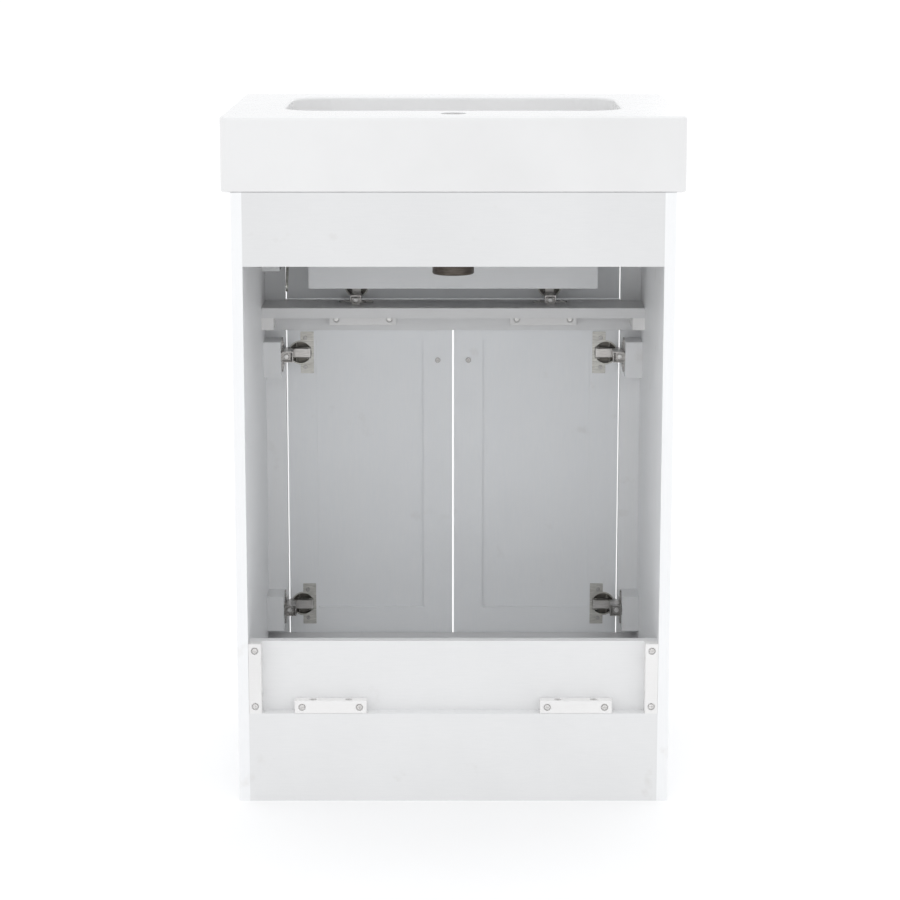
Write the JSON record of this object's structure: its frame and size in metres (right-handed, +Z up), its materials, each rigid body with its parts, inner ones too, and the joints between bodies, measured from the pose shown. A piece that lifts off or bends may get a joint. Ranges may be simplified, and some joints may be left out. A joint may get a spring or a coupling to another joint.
{
  "type": "bathroom vanity cabinet",
  "caption": "Floor-standing bathroom vanity with framed doors, a tilting flap with a tray, an open back with cleated rails, concealed hinges and a ceramic basin.",
  "frame": {"origin": "on the floor, at the middle of the whole object's width and depth", "axes": "+Z up, +Y towards the wall behind the cabinet, -Y out of the doors, X across the cabinet"},
  "size_m": [0.627, 0.481, 0.956],
  "materials": {
    "painted_board": "white painted or melamine-faced board, satin",
    "painted_front": "white painted front, satin",
    "tray_board": "white faced board, satin",
    "ceramic": "opaque white glaze, gloss",
    "hinge_steel": "nickel-plated pressed steel",
    "brushed_knob": "brushed nickel",
    "chrome": "polished",
    "bronze": "dark bronze",
    "rubber": "matt"
  },
  "bodies": {
    "carcass": {"side_panel_right": "painted_board", "side_panel_left": "painted_board", "front_stile_right": "painted_board", "front_stile_left": "painted_board", "rear_top_rail": "painted_board", "front_top_board": "painted_board", "middle_board": "painted_board", "middle_rail": "painted_board", "floor_board": "painted_board", "rear_plinth": "painted_board", "front_plinth": "painted_board", "back_rail": "painted_board", "back_cleats": "painted_board", "middle_cleats": "painted_board", "hinge_blocks": "painted_board", "stay_block": "painted_board", "cleat_screws": "hinge_steel", "hinge_plates": "hinge_steel", "hinge_arms": "hinge_steel", "hinge_screws": "hinge_steel", "stay_pin": "hinge_steel", "basin_deck": "ceramic", "basin_skirt": "ceramic", "basin_bowl": "ceramic", "overflow_ring": "chrome", "waste_body": "chrome", "waste_washer": "rubber", "waste_nut": "bronze"},
    "waste_plug": {"waste_plug": "chrome"},
    "door_right": {"door_right_stiles": "painted_front", "door_right_top_rail": "painted_front", "door_right_bottom_rail": "painted_front", "door_right_panel": "painted_front", "door_right_knob": "brushed_knob", "door_right_screws": "hinge_steel", "door_right_hinge_cups": "hinge_steel"},
    "door_left": {"door_left_stiles": "painted_front", "door_left_top_rail": "painted_front", "door_left_bottom_rail": "painted_front", "door_left_panel": "painted_front", "door_left_knob": "brushed_knob", "door_left_screws": "hinge_steel", "door_left_hinge_cups": "hinge_steel"},
    "flap": {"flap_stiles": "painted_front", "flap_top_rail": "painted_front", "flap_bottom_rail": "painted_front", "flap_panel": "painted_front", "flap_knob": "brushed_knob", "flap_screws": "hinge_steel", "flap_hinge_cups": "hinge_steel", "tray_rear": "tray_board", "tray_floor": "tray_board", "tray_ends": "tray_board", "flap_stay_quadrant": "hinge_steel"},
    "door_right_arm_links": {"door_right_arm_links": "hinge_steel"},
    "door_right_cup_links": {"door_right_cup_links": "hinge_steel"},
    "door_left_arm_links": {"door_left_arm_links": "hinge_steel"},
    "door_left_cup_links": {"door_left_cup_links": "hinge_steel"},
    "flap_arm_links": {"flap_arm_links": "hinge_steel"},
    "flap_cup_links": {"flap_cup_links": "hinge_steel"}
  },
  "joints": [
    {"name": "door_right_hinge", "type": "hinge", "parent": "carcass", "child": "door_right", "pos_m": [0.253, -0.2137, 0.37], "axis": [0, 0, 1], "range_deg": [0, 95]},
    {"name": "door_right_arm_link_pivot", "type": "hinge", "parent": "carcass", "child": "door_right_arm_links", "pos_m": [0.2496, -0.1928, 0.37], "axis": [0, 0, 1], "range_deg": [0, 43]},
    {"name": "door_right_cup_link_pivot", "type": "hinge", "parent": "door_right", "child": "door_right_cup_links", "pos_m": [0.2381, -0.1998, 0.37], "axis": [0, 0, 1], "range_deg": [-124, 0]},
    {"name": "door_left_hinge", "type": "hinge", "parent": "carcass", "child": "door_left", "pos_m": [-0.253, -0.2137, 0.37], "axis": [0, 0, -1], "range_deg": [0, 95]},
    {"name": "door_left_arm_link_pivot", "type": "hinge", "parent": "carcass", "child": "door_left_arm_links", "pos_m": [-0.2496, -0.1928, 0.37], "axis": [0, 0, -1], "range_deg": [0, 43]},
    {"name": "door_left_cup_link_pivot", "type": "hinge", "parent": "door_left", "child": "door_left_cup_links", "pos_m": [-0.2381, -0.1998, 0.37], "axis": [0, 0, -1], "range_deg": [-124, 0]},
    {"name": "flap_tilt", "type": "hinge", "parent": "carcass", "child": "flap", "pos_m": [0, -0.2137, 0.6485], "axis": [1, 0, 0], "range_deg": [0, 40]},
    {"name": "flap_arm_link_pivot", "type": "hinge", "parent": "carcass", "child": "flap_arm_links", "pos_m": [0, -0.1928, 0.6519], "axis": [1, 0, 0], "range_deg": [0, 8.2]},
    {"name": "flap_cup_link_pivot", "type": "hinge", "parent": "flap", "child": "flap_cup_links", "pos_m": [0, -0.1998, 0.6634], "axis": [1, 0, 0], "range_deg": [-68.5, 0]},
    {"name": "waste_plug_lift", "type": "slide", "parent": "carcass", "child": "waste_plug", "axis": [0, 0, 1], "range_m": [0, 0.006]}
  ],
  "couplings": [
    {"joint": "door_right_arm_link_pivot", "follows": "door_right_hinge", "ratio": 0.4512},
    {"joint": "door_right_cup_link_pivot", "follows": "door_right_hinge", "ratio": -1.3014},
    {"joint": "door_left_arm_link_pivot", "follows": "door_left_hinge", "ratio": 0.4512},
    {"joint": "door_left_cup_link_pivot", "follows": "door_left_hinge", "ratio": -1.3014},
    {"joint": "flap_arm_link_pivot", "follows": "flap_tilt", "ratio": 0.1997},
    {"joint": "flap_cup_link_pivot", "follows": "flap_tilt", "ratio": -1.7025}
  ]
}
